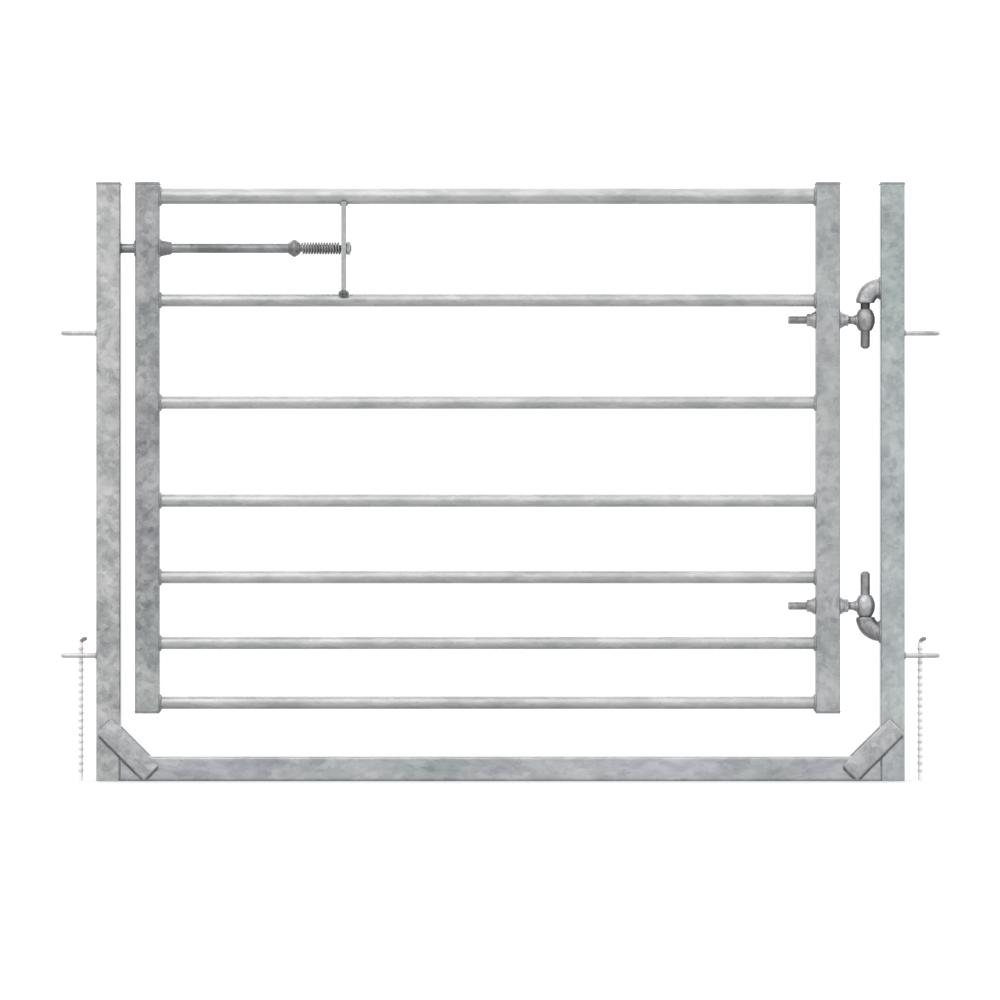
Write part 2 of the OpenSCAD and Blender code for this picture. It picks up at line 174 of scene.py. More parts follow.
class GateColours(PropertyGroup):
    """Colours of the finishes, in linear light."""

    zinc_light: colour("Light zinc", "Bright crystals of the zinc", (0.60, 0.61, 0.60))
    zinc_mid: colour("Middle zinc", "Most of the zinc", (0.40, 0.415, 0.415))
    zinc_dark: colour("Dark zinc", "Dull crystals of the zinc", (0.215, 0.23, 0.24))
    zinc_green: colour("Green drift", "Greenish stretches of the zinc", (0.93, 1.0, 0.965))
    zinc_violet: colour("Violet drift", "Violet stretches of the zinc", (0.955, 0.955, 1.0))
    bloom: colour("Zinc bloom", "Chalky bloom on the zinc", (0.66, 0.67, 0.67))
    latch_post_cast: cast("Latch post", (0.79, 0.775, 0.775))
    hinge_post_cast: cast("Hinge post", (0.755, 0.785, 0.79))
    latch_stile_cast: cast("Latch stile", (0.635, 0.625, 0.635))
    hinge_stile_cast: cast("Hinge stile", (0.73, 0.725, 0.735))
    bottom_rail_cast: cast("Bottom rail", (0.79, 0.785, 0.82))
    rail_cast: cast("Rails", (0.815, 0.805, 0.80))
    loop_cast: cast("Upper loops", (0.95, 0.94, 0.935))
    low_loop_cast: cast("Lower loops", (0.96, 0.90, 0.88))
    strap_cast: cast("Bolt strap", (0.70, 0.70, 0.70))
    brace_cast: cast("Corner braces", (0.79, 0.775, 0.79))
    weld_cast: cast("Welds", (0.62, 0.625, 0.635))
    # Dark welds round the end plates, and painted shadow along the braces' lower edges and lower ends
    seam_cast: cast("Dark welds", (0.46, 0.47, 0.48))
    # Darker weld at the bolt strap's lower foot
    weld_scale_cast: cast("Burnt weld", (0.48, 0.48, 0.49))
    hinge_light: colour("Light hinge steel", "Zinc on the lighter hinge pieces", (0.335, 0.34, 0.35))
    hinge_dark: colour("Dark hinge steel", "Zinc on the darker hinge pieces", (0.275, 0.275, 0.285))
    bolt_steel: colour("Bolt steel", "Rubbed steel of the bolt", (0.20, 0.205, 0.21))
    bush_steel: colour("Bush steel", "Dark steel of guide and collar", (0.175, 0.175, 0.18))
    spring_steel: colour("Spring steel", "Drawn wire of the spring", (0.25, 0.25, 0.258))
    # Grime darkens the tarnish patches as dirt, and is also the colour of painted shade on marked
    # points
    grime_and_shade: colour("Grime", "Dirt held in threads and hollows", (0.05, 0.048, 0.046))
    rust: colour("Rust", "Light rust", (0.27, 0.12, 0.065))
    pin_core: colour("Ground pin", "Bright zinc on a ground pin's core", (0.72, 0.715, 0.71))
    # Ribs: worn zinc, with painted shade where the dark band reaches past them
    pin_rib_wear_and_shade: colour("Ground pin ribs", "Worn zinc on a ground pin's ribs", (0.57, 0.54, 0.525))
    # Painted shade on a ground pin's bent head
    pin_head_shade: colour("Ground pin head", "Bare steel of a ground pin's head", (0.20, 0.185, 0.18))
    floor: colour("Floor", "Studio floor", (0.42, 0.42, 0.42))
    floor_glow: colour("Floor glow", "Light that comes up through the studio floor", (0.30, 0.30, 0.30))


def span(node):
    """Lowest corner, highest corner and middle of a CAD node, in metres."""
    low, high = np.array(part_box(node))
    return low, high, (low + high) / 2


def unit(vector):
    """Vectors scaled to length one."""
    vector = np.asarray(vector, float)
    return vector / np.linalg.norm(vector, axis=-1, keepdims=True)


def angles(columns):
    """Angles round a profile, in radians, without the repeated last one."""
    return np.linspace(0, 2 * pi, columns, endpoint=False)


def rounded(count):
    """Signs of the corner and angle of each point on a rounded rectangle, count to a corner."""
    turn = np.linspace(0, pi / 2, count) + np.arange(4)[:, None] * pi / 2
    return np.repeat([[1, 1], [-1, 1], [-1, -1], [1, -1]], count, axis=0), turn.ravel()


def carry(path, normal, across, u, v):
    """A profile carried along a path: point = path + u * normal + v * across, row by row."""
    normal = np.broadcast_to(normal, path.shape)
    across = np.broadcast_to(across, path.shape)
    return path[:, None] + u[..., None] * normal[:, None] + v[..., None] * across[:, None]


def sweep(path, tangent, across, radius):
    """A round profile carried along a path, where normal = across x tangent.

    Point = path + radius(row, angle) * (cos(angle) * normal + sin(angle) * across).
    """
    turn = angles(radius.shape[1])
    normal = np.cross(across, tangent)
    return carry(path, normal, across, radius * np.cos(turn), radius * np.sin(turn))


def skin(grid, closed=False):
    """Points and faces of a grid of rings: a quad between neighbours, and a face over open ends."""
    rows, columns = grid.shape[:2]
    index = np.arange(rows * columns).reshape(rows, columns)
    loop = np.vstack([index, index[:1]]) if closed else index
    beside = np.roll(loop, -1, axis=1)
    quads = np.stack([loop[:-1], beside[:-1], beside[1:], loop[1:]], axis=-1).reshape(-1, 4)
    ends = [] if closed else [index[:1, ::-1], index[-1:]]
    return grid.reshape(-1, 3), [quads, *ends]


def lathe(origin, along, radius, closed=False, sides=SIDES, direction=X, across=Y):
    """A turned form: rings of radius(row, angle) at origin + along(row) * direction."""
    along, radius = np.asarray(along, float), np.asarray(radius, float)
    if radius.ndim == 1:
        radius = np.repeat(radius[:, None], sides, axis=1)
    path = np.asarray(origin) + along[:, None] * direction
    return skin(sweep(path, direction, across, radius), closed)


def new_object(name, shells, material, wear=None):
    """Puts shells of points and faces into one mesh object, smooth but for its sharp edges.

    A level of wear and painted shade for each point, if any, is kept in the mesh for its material.
    """
    faces, base = [], 0
    for points, groups in shells:
        faces += [face for group in groups for face in (group + base).tolist()]
        base += len(points)
    mesh = bpy.data.meshes.new(name)
    mesh.from_pydata(np.vstack([points for points, _ in shells]).tolist(), [], faces)
    mesh.polygons.foreach_set("use_smooth", np.ones(len(faces), bool))
    mesh.set_sharp_from_angle(angle=SHARP)
    if wear is not None:
        mesh.attributes.new("wear", "FLOAT", "POINT").data.foreach_set("value", wear.ravel())
    mesh.materials.append(material)
    mesh.update()
    item = bpy.data.objects.new(name, mesh)
    bpy.context.scene.collection.objects.link(item)
    return item


def make_piece(name, shells, kind, body, nodes=(), wear=None):
    """A mesh object in a finish, which rides on a CAD body and may take the place of CAD nodes."""
    piece = new_object(name, shells, finish_of(kind), wear)
    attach(piece, body)
    if nodes:
        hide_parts(*nodes)
    return piece


def paint(nodes, kind):
    """Gives CAD nodes a finish through their own slots."""
    for name in nodes:
        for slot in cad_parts[name].material_slots:
            slot.material = finish_of(kind)


def thread(along, columns, crest, depth, pitch):
    """Radius of a screw thread: crest less depth times a flattened triangle wave.

    The wave runs along the axis and once round it in each pitch.
    """
    turn = angles(columns) / (2 * pi)
    wave = np.abs(2 * np.mod(along[:, None] / pitch - turn, 1) - 1)
    return crest - depth * np.clip(1.35 * wave - 0.15, 0, 1)


def bead(path, tangent, across, radius, closed=False):
    """A weld bead: a round profile on a path, with crescent ripples and a slow swell along it.

    Radius = r * (1 + 0.1 cos(2 pi s / ripple - cos a)) * swell, and open ends run out to a point.
    """
    seed = RNG.uniform(0, 6)
    step = np.linalg.norm(np.diff(path, axis=0), axis=1)
    total = step.sum() + (np.linalg.norm(path[0] - path[-1]) if closed else 0)
    along = np.r_[0, np.cumsum(step)]
    waves = max(2, round(total / bpy.context.scene.gate_sizes.ripple))
    lap = 2 * pi * along / total
    swell = 1 + 0.08 * np.sin(2 * lap + seed) + 0.05 * np.sin(5 * lap + 2.3 * seed)
    crescents = np.cos(waves * lap[:, None] - np.cos(angles(BEAD_SIDES)))
    profile = radius * swell[:, None] * (1 + 0.10 * crescents)
    if not closed:
        run_out = np.clip(np.minimum(along, total - along) / (1.2 * radius), 0.03, 1)
        profile = profile * np.sqrt(1 - (1 - run_out[:, None]) ** 2)
    return skin(sweep(path, tangent, across, profile), closed)


def rows_for(distance):
    """Rows along a bead of that length, close enough to show its ripples."""
    return max(12, int(distance / WELD_STEP))


def ring_bead(centre, ring, radius, first=0.0, last=2 * pi, across=Y):
    """A weld on a circle about the X direction, whole or from one angle to another."""
    closed = last - first >= 2 * pi - 1e-6
    turn = np.linspace(first, last, rows_for(ring * (last - first)), endpoint=not closed)[:, None]
    side = np.cross(X, across)
    path = np.asarray(centre) + ring * (np.cos(turn) * across + np.sin(turn) * side)
    tangent = -np.sin(turn) * across + np.cos(turn) * side
    return bead(path, tangent, X, radius, closed)


def line_bead(start, end, across, radius):
    """A straight weld from start to end."""
    start, end = np.array([start, end], float)
    share = np.linspace(0, 1, rows_for(np.linalg.norm(end - start)))[:, None]
    return bead(start + share * (end - start), unit(end - start), across, radius)


def square_bead(box, z):
    """The weld of an end plate round a box section at height z: a square with rounded corners."""
    low, high, middle = span(box)
    signs, turn = rounded(9)
    outline = signs * ((high - low)[0] / 2 - BOX_CORNER) \
        + BOX_CORNER * np.column_stack([np.cos(turn), np.sin(turn)])
    outline = np.vstack([outline, outline[:1]])
    step = np.r_[0, np.cumsum(np.linalg.norm(np.diff(outline, axis=0), axis=1))]
    even = np.linspace(0, step[-1], rows_for(step[-1]), endpoint=False)
    flat = np.column_stack([np.interp(even, step, outline[:, k]) for k in range(2)])
    path = np.column_stack([flat + middle[:2], np.full(len(flat), z)])
    tangent = unit(np.roll(path, -1, axis=0) - np.roll(path, 1, axis=0))
    return bead(path, tangent, Z, bpy.context.scene.gate_sizes.cap_bead, True)


def fill_ramp(node, stops):
    """Gives a colour ramp its stops, each a position and a colour."""
    marks = node.color_ramp.elements
    while len(marks) < len(stops):
        marks.new(0.5)
    for mark, (position, shade) in zip(marks, stops):
        mark.position = position
        mark.color = (*shade, 1.0)


class Shader:
    """A node material built a node at a time."""

    def __init__(self, name):
        self.material = bpy.data.materials.new(name)
        self.material.use_nodes = True
        self.tree = self.material.node_tree
        self.tree.nodes.clear()
        self.surface = self.tree.nodes.new("ShaderNodeBsdfPrincipled")
        output = self.tree.nodes.new("ShaderNodeOutputMaterial")
        self.tree.links.new(self.surface.outputs["BSDF"], output.inputs["Surface"])
        self.place = self.tree.nodes.new("ShaderNodeTexCoord").outputs["Object"]

    def fill(self, node, inputs):
        """Sets a node's inputs, by index or name, to values or links outputs to them."""
        for key, value in dict(inputs).items():
            socket = node.inputs[key]
            if isinstance(value, bpy.types.NodeSocket):
                self.tree.links.new(value, socket)
            else:
                socket.default_value = (*value, 1.0) if socket.type == "RGBA" else value

    def add(self, kind, inputs=(), **settings):
        """Adds a node with its settings and its inputs."""
        node = self.tree.nodes.new("ShaderNode" + kind)
        for key, value in settings.items():
            setattr(node, key, value)
        self.fill(node, inputs)
        return node

    def stretch(self, scale):
        """Object coordinates scaled axis by axis."""
        return self.add("Mapping", {"Vector": self.place, "Scale": scale}).outputs["Vector"]

    def noise(self, vector, scale, detail=3.0, rough=0.55, twist=0.0):
        """Fractal noise, about 0.5."""
        node = self.add("TexNoise", {"Vector": vector, "Scale": scale, "Detail": detail,
                                     "Roughness": rough, "Distortion": twist})
        return node.outputs["Fac"]

    def crystals(self, vector, scale, blur):
        """A random level for each cell of a Voronoi pattern, with its edges blurred by noise."""
        shift = self.add("TexNoise", {"Vector": vector, "Scale": scale * 1.7, "Detail": 2.0})
        moved = self.add("VectorMath", {0: shift.outputs["Color"], 1: (blur, blur, blur)},
                         operation="MULTIPLY")
        place = self.add("VectorMath", {0: vector, 1: moved.outputs[0]}, operation="ADD")
        cells = self.add("TexVoronoi", {"Vector": place.outputs[0], "Scale": scale})
        return self.add("SeparateColor", {0: cells.outputs["Color"]}).outputs[0]

    def maths(self, operation, *values, clamp=False):
        """One sum."""
        node = self.add("Math", enumerate(values), operation=operation, use_clamp=clamp)
        return node.outputs[0]

    def blend(self, levels):
        """Weighted sum of levels."""
        total, *rest = (self.maths("MULTIPLY", level, weight) for weight, level in levels)
        for part in rest:
            total = self.maths("ADD", total, part)
        return total

    def step(self, level, low, high, start=0.0, end=1.0):
        """A smooth step of a level between low and high."""
        node = self.add("MapRange", {"Value": level, "From Min": low, "From Max": high,
                                     "To Min": start, "To Max": end},
                        interpolation_type="SMOOTHSTEP")
        return node.outputs[0]

    def ramp(self, level, stops):
        """Colours by level."""
        node = self.add("ValToRGB", {0: level})
        fill_ramp(node, stops)
        return node.outputs["Color"]

    def mix(self, share, first, second, mode="MIX"):
        """Two colours mixed by a share."""
        node = self.add("Mix", {0: share, 6: first, 7: second}, data_type="RGBA", blend_type=mode)
        return node.outputs[2]

    def wear(self):
        """The level of wear and painted shade kept in the mesh, 0 where there is none."""
        return self.add("Attribute", attribute_name="wear").outputs["Fac"]

    def bump(self, height, strength, distance):
        """A bump of the surface."""
        node = self.add("Bump", {"Height": height, "Strength": strength, "Distance": distance})
        self.fill(self.surface, {"Normal": node.outputs["Normal"]})

    def finish(self, shade, rough, metal):
        """Links colour, roughness and metal to the surface and gives the material."""
        self.fill(self.surface, {"Base Color": shade, "Roughness": rough, "Metallic": metal})
        return self.material


def zinc(name, tones, tint, scale=(1.0, 1.0, 1.0), lift=0.0, mottle=1.0, hue_share=0.0, relief=0.35):
    """Hot-dip zinc: crystals, mottles and patches, a chalky bloom and a slow drift of hue.

    Scale stretches the pattern, lift raises its level, mottle is the strength of its mottles,
    hue_share the share of the drift of hue, and relief the strength of the bump.
    """
    s = Shader(name)
    dark, mid, light, bloom = (tuple(a * b for a, b in zip(shade, tint)) for shade in
                               (tones.zinc_dark, tones.zinc_mid, tones.zinc_light, tones.bloom))
    place = s.stretch(scale)
    crystal = s.crystals(place, 105.0, 0.010)
    fine = s.noise(place, 190.0, 4.0, 0.6)
    grain = s.noise(place, 62.0, 5.0, 0.62, 0.6)
    patch = s.noise(place, 21.0, 3.0, 0.5, 0.4)
    broad = s.noise(place, 5.0, 2.0)
    tone = s.blend([(0.15, crystal), (0.13, fine), (0.30, grain), (0.46, patch), (0.24, broad)])
    tone = s.maths("MULTIPLY_ADD", tone, mottle, 0.64 * (1 - mottle) + lift)
    shade = s.ramp(tone, [(0.36, dark), (0.62, mid), (0.90, light)])
    chalk = s.step(s.noise(place, 26.0, 5.0, 0.65, 0.8), 0.56, 0.74)
    shade = s.mix(s.maths("MULTIPLY", chalk, 0.5), shade, bloom)
    fleck = s.step(s.noise(place, 150.0, 3.0, 0.7), 0.62, 0.74)
    shade = s.mix(s.maths("MULTIPLY", fleck, 0.35), shade, dark)
    hue = s.ramp(s.noise(s.place, 5.5, 1.0), [(0.36, tones.zinc_green), (0.5, (0.98, 0.98, 0.98)),
                                              (0.64, tones.zinc_violet)])
    shade = s.mix(hue_share, shade, hue, "MULTIPLY")
    rough = s.step(s.blend([(0.5, tone), (0.5, chalk)]), 0.2, 0.9, 0.36, 0.62)
    s.bump(s.blend([(0.5, grain), (0.3, crystal), (0.35, fine)]), relief, 0.5 * MM)
    return s.finish(shade, rough, 0.88)


def steel(name, tones, base, scale, rusts):
    """Dull steel: drawn or rubbed streaks, dark tarnish, painted shade on marked points, and rust."""
    s = Shader(name)
    streak = s.noise(s.stretch(scale), 170.0, 4.0, 0.6)
    cloud = s.noise(s.place, 55.0, 4.0, 0.6, 0.5)
    patch = s.noise(s.place, 14.0, 3.0, 0.55)
    dark, light = (tuple(min(1.0, share * level) for level in base) for share in (0.55, 1.55))
    tone = s.blend([(0.38, streak), (0.36, cloud), (0.32, patch)])
    shade = s.ramp(tone, [(0.36, dark), (0.54, base), (0.74, light)])
    tarnish = s.step(s.noise(s.place, 85.0, 5.0, 0.7, 0.6), 0.58, 0.78)
    shade = s.mix(s.maths("MULTIPLY", tarnish, 0.6), shade, tones.grime_and_shade)
    # Painted shade: the steel darkens towards grime where the mesh's points are marked
    shade = s.mix(s.maths("MULTIPLY", s.wear(), 0.9), shade, tones.grime_and_shade)
    metal = 0.9
    if rusts:
        spots = s.step(s.noise(s.place, 120.0, 5.0, 0.65, 0.7), 0.68, 0.82)
        shade = s.mix(s.maths("MULTIPLY", spots, 0.8), shade, tones.rust)
        metal = s.step(spots, 0.0, 1.0, metal, 0.15)
    rough = s.step(tone, 0.3, 0.8, 0.52, 0.36)
    s.bump(s.blend([(0.5, streak), (0.5, cloud)]), 0.3, 0.35 * MM)
    return s.finish(shade, rough, metal)


def ribbed(name, tones):
    """Ground pin: bright zinc on the core, worn zinc and painted shade on the ribs, painted shade on
    the head and spots of rust.
    """
    s = Shader(name)
    cloud = s.noise(s.place, 90.0, 4.0, 0.6, 0.5)
    level = s.maths("ADD", s.wear(), s.step(cloud, 0.3, 0.7, -0.08, 0.08), clamp=True)
    shade = s.ramp(level, [(0.04, tones.pin_core), (0.5, tones.pin_rib_wear_and_shade), (1.0, tones.pin_head_shade)])
    spots = s.step(s.noise(s.place, 120.0, 5.0, 0.65, 0.7), 0.58, 0.76)
    shade = s.mix(s.maths("MULTIPLY", spots, s.step(level, 0.1, 0.6, 0.05, 0.3)), shade, tones.rust)
    rough = s.step(s.blend([(0.6, cloud), (0.4, level)]), 0.2, 0.8, 0.42, 0.62)
    s.bump(cloud, 0.3, 0.35 * MM)
    return s.finish(shade, rough, 0.6)


def finish_of(kind):
    """The finish of that name, made when it is first asked for."""
    name = "gate_" + kind
    if name in bpy.data.materials:
        return bpy.data.materials[name]
    tones = bpy.context.scene.gate_colours
    if kind in ZINC_FINISHES:
        return zinc(name, tones, getattr(tones, kind + "_cast"), **ZINC_FINISHES[kind])
    if kind == "pin_steel":
        return ribbed(name, tones)
    return steel(name, tones, getattr(tones, kind), *STEEL_FINISHES[kind])


class GATE_OT_box_sections(Operator):
    """Mottled zinc on posts, stiles, end plates and bottom rail"""

    bl_idname = "gate.box_sections"
    bl_label = "Box sections"

    def execute(self, context):
        for box in BOX_NODES:
            paint([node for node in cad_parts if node.startswith(box)], box)
        return {"FINISHED"}


class GATE_OT_rails(Operator):
    """Seven round tubes in bright zinc that is drawn out along them"""

    bl_idname = "gate.rails"
    bl_label = "Rails"

    def execute(self, context):
        wall = context.scene.gate_sizes.rail_wall
        for node in RAIL_NODES:
            low, high, middle = span(node)
            reach, rail_r = (high - low)[0], (high - low)[2] / 2
            # Out along the outer wall and back along the inner one
            tube = lathe((low[0], 0, middle[2]), (0, reach, reach, 0),
                         (rail_r, rail_r, rail_r - wall, rail_r - wall), True, RAIL_SIDES)
            make_piece(node + "_tube", [tube], "rail", "gate", [node])
        return {"FINISHED"}


class GATE_OT_bars(Operator):
    """Zinc on the linking loops and the bolt strap"""

    bl_idname = "gate.bars"
    bl_label = "Loops and strap"

    def execute(self, context):
        for kind, nodes in LOOP_NODES.items():
            paint(nodes, kind)
        paint(["bolt_strap"], "strap")
        return {"FINISHED"}


def brace_lines(node):
    """Middle, directions along and across, and half length, width and thickness of a brace.

    Its box, with the brace at 45 degrees, is (length + width) / sqrt(2) on both sides.
    """
    low, high, middle = span(node)
    side = 1.0 if node.endswith("right") else -1.0
    width = bpy.context.scene.gate_sizes.brace_w
    half_l = ((high - low)[0] * 2 ** 0.5 - width) / 2
    return middle, unit((side, 0, 1)), unit((side, 0, -1)), half_l, width / 2, (high - low)[1] / 2


class GATE_OT_corner_braces(Operator):
    """Straps over the lower corners, with their edges rounded"""

    bl_idname = "gate.corner_braces"
    bl_label = "Corner braces"

    def execute(self, context):
        edge = context.scene.gate_sizes.edge_round
        signs, turn = rounded(5)
        bend = np.linspace(0.1, 1, 5)
        inset = edge * (1 - np.sqrt(1 - (1 - bend) ** 2))
        round_off = (edge - np.r_[inset, inset[::-1]])[:, None]
        for node in BRACE_NODES:
            middle, along, across, half_l, half_w, half_t = brace_lines(node)
            # A rounded rectangle along the brace, drawn in at both ends by a quarter circle
            station = half_l - edge * (bend - bend[0])
            station = np.r_[-station, station[::-1]][:, None]
            u = signs[:, 0] * (half_w - edge) + round_off * np.cos(turn)
            v = signs[:, 1] * (half_t - edge) + round_off * np.sin(turn)
            grid = carry(middle + station * along, across, np.cross(along, across), u, v)
            make_piece(node + "_plate", [skin(grid)], "brace", "frame", [node])
        return {"FINISHED"}


def gudgeon_lines(node):
    """Face of the post, pin axis, heights of root, shoulder and tip, bend and root radius, way up."""
    low, high, _ = span(node)
    root_r = high[1]
    face_x, axis_x = span("hinge_post")[0][0], low[0] + root_r
    bend = face_x - axis_x
    root_z, tip_z, sign = high[2] - root_r, low[2], -1.0
    if node.startswith("bottom"):
        root_z, tip_z, sign = low[2] + root_r, high[2], 1.0
    return face_x, axis_x, root_z, root_z + sign * bend, tip_z, bend, root_r, sign


class GATE_OT_gudgeons(Operator):
    """Forged hinge hooks: a bent root, a rounded shoulder and the hinge pin"""

    bl_idname = "gate.gudgeons"
    bl_label = "Gudgeons"

    def execute(self, context):
        sizes = context.scene.gate_sizes
        pin_r, edge = sizes.pin_d / 2, sizes.shoulder_round
        # Heights on the pin between which its painted shade under the shoulder fades, and the lip round
        # its foot
        shade_full_to, shade_gone_to, lip = 12 * MM, 20 * MM, 1.5 * MM
        for node, kind, tip in zip(GUDGEON_NODES, ("hinge_light", "hinge_dark"), (0.45, 0.05)):
            face_x, axis_x, _, shoulder_z, tip_z, bend, root_r, sign = gudgeon_lines(node)
            # Circles along a quarter bend, over its rounded shoulder and up the pin
            corner = pi / 2 - edge / bend
            turn = np.r_[np.linspace(0, corner, 40, endpoint=False),
                         pi / 2 - edge / bend * np.cos(np.linspace(0, pi / 2, 7))]
            arc = np.column_stack([face_x - bend * np.sin(turn), 0 * turn,
                                   shoulder_z - sign * bend * np.cos(turn)])
            arc_tangent = np.column_stack([-np.cos(turn), 0 * turn, sign * np.sin(turn)])
            left = np.clip((turn - corner) * bend, 0, edge)
            arc_r = root_r - edge + np.sqrt(edge ** 2 - left ** 2)
            arc_r = arc_r * (1 + 0.006 * np.sin(9 * turn) + 0.004 * np.sin(23 * turn + 1))
            reach = abs(tip_z - shoulder_z)
            rise = np.r_[0, 0, shade_full_to, shade_gone_to, reach - pin_r / 2, reach - 0.04 * pin_r, reach]
            growth = np.r_[lip, 0, 0, 0, 0, 0.3 * MM - pin_r / 2, -pin_r / 2]
            path = np.vstack([arc, axis_x * X + (shoulder_z + sign * rise)[:, None] * Z])
            tangent = np.vstack([arc_tangent, np.tile(sign * Z, (len(rise), 1))])
            # Painted shade on the pin under the shoulder, full to the first height and down to the tip
            # level by the second; the rest of the pin stays darker by the tip level
            pin_shade = np.r_[0 * turn, 0.5, 1, 1, tip, tip, tip, tip]
            radius = np.repeat(np.r_[arc_r, pin_r + growth][:, None], FORGING_SIDES, axis=1)
            lump = 0.006 * np.sin(3 * angles(FORGING_SIDES) + 1.0) * (radius > pin_r + 2 * MM)
            shell = skin(sweep(path, tangent, Y, radius * (1 + lump)))
            make_piece(node + "_forging", [shell], kind, "frame", [node],
                       np.repeat(pin_shade, FORGING_SIDES))
        return {"FINISHED"}


class GATE_OT_eye_bolts(Operator):
    """Eye bolts: a crowned eye, a flared neck and a threaded stem"""

    bl_idname = "gate.eye_bolts"
    bl_label = "Eye bolts"

    def execute(self, context):
        sizes = context.scene.gate_sizes
        stem_r, crown, pitch = sizes.stem_d / 2, sizes.eye_crown, sizes.stem_pitch
        # The eye has a little play on its pin, and rounded rims
        bore_r, edge = sizes.pin_d / 2 + 0.08 * MM, 0.5 * MM
        for node, kind in (("top_eye_bolt", "hinge_dark"), ("bottom_eye_bolt", "hinge_light")):
            low, high, middle = span(node)
            eye_r, half = high[1], (high - low)[2] / 2
            axis = np.array([high[0] - eye_r, 0, middle[2]])
            z = np.linspace(edge - half, half - edge, 30)
            # The eye is an arc of the crown's radius, turned about the pin
            side = eye_r - crown + np.sqrt(crown ** 2 - z ** 2)
            ends = np.array([half - 0.1 * MM, half, half, half - edge])
            rim = np.array([side[-1] - 0.3 * MM, side[-1] - 0.7 * MM, bore_r + edge, bore_r])
            eye = lathe(axis, np.r_[z, ends, -ends[::-1]], np.r_[side, rim, rim[::-1]], True,
                        direction=Z, across=X)
            stem_l = axis[0] - low[0]
            # The thread stops short of the eye, and the flare is full just inside it
            run, neck = stem_l - eye_r - 5 * MM, stem_l - eye_r + 3 * MM
            s = np.r_[np.arange(0, run, pitch / THREAD_ROWS),
                      np.linspace(run, stem_l - bore_r - 2.4 * MM, 22)]
            cut = thread(s, STEM_SIDES, stem_r, sizes.stem_depth, pitch)
            fade = np.clip((run - s) / (2 * pitch), 0, 1)[:, None]
            point = 1.8 * MM * np.clip(1 - s / (1.6 * MM), 0, 1)
            flare = sizes.eye_flare * np.exp(-np.clip((neck - s) / (4.5 * MM), 0, None) ** 2)
            stem_radius = fade * cut + (1 - fade) * stem_r + (flare - point)[:, None]
            stem = lathe((low[0], 0, axis[2]), s, stem_radius)
            make_piece(node + "_forging", [eye, stem], kind, "gate", [node])
        return {"FINISHED"}


def hex_nut(centre, direction, flats, height, bore_r, turn, flange_r=0.0, flange_h=0.0, rim=0.0):
    """A chamfered nut that stands on centre and rises along direction.

    Outer radius = larger of the sloping flange and the hexagon, where the hexagon's corners are
    cut by a 30 degree cone at its free ends.
    """
    sector = np.mod(angles(NUT_SIDES) + turn, pi / 3) - pi / 6
    s = np.linspace(0, height, 34)
    free = height - s if flange_r else np.minimum(height - s, s)
    cone = 0.94 * flats / 2 + free / np.tan(pi / 6)
    body = np.minimum(flats / 2 / np.cos(sector), cone[:, None])
    if flange_r:
        slope = flange_r - (flange_r - 0.95 * flats / 2) * np.clip((s - rim) / (flange_h - rim), 0, 1)
        slope = np.where(s < flange_h + 0.1 * MM, slope, 0)
        slope = slope - 0.35 * MM * np.clip(1 - s / (0.5 * MM), 0, 1)
        body = np.maximum(body, slope[:, None])
    lip = 0.9 * MM
    bore = np.repeat([[bore_r + lip], [bore_r], [bore_r], [bore_r + lip]], NUT_SIDES, axis=1)
    along = np.r_[s, height, height - lip, lip, 0]
    return lathe(centre, along, np.vstack([body, bore]), True, direction=direction)


class GATE_OT_hinge_nuts(Operator):
    """Flanged nuts that clamp the eye bolts to the hinge stile"""

    bl_idname = "gate.hinge_nuts"
    bl_label = "Hinge nuts"

    def execute(self, context):
        sizes = context.scene.gate_sizes
        stile_low, stile_high, _ = span("hinge_stile")
        faces = (stile_low[0], -X), (stile_high[0], X)
        for node, turns in (("top_hinge_nuts", (0.1, 0.45)), ("bottom_hinge_nuts", (0.3, 0.0))):
            _, high, middle = span(node)
            shells = [hex_nut((x, 0, middle[2]), way, sizes.nut_flats, high[0] - stile_high[0],
                              sizes.stem_d / 2 + PLAY, turn, high[1], sizes.flange_h,
                              sizes.flange_rim)
                      for (x, way), turn in zip(faces, turns)]
            make_piece(node + "_turned", shells, "hinge_light", "gate", [node])
        return {"FINISHED"}


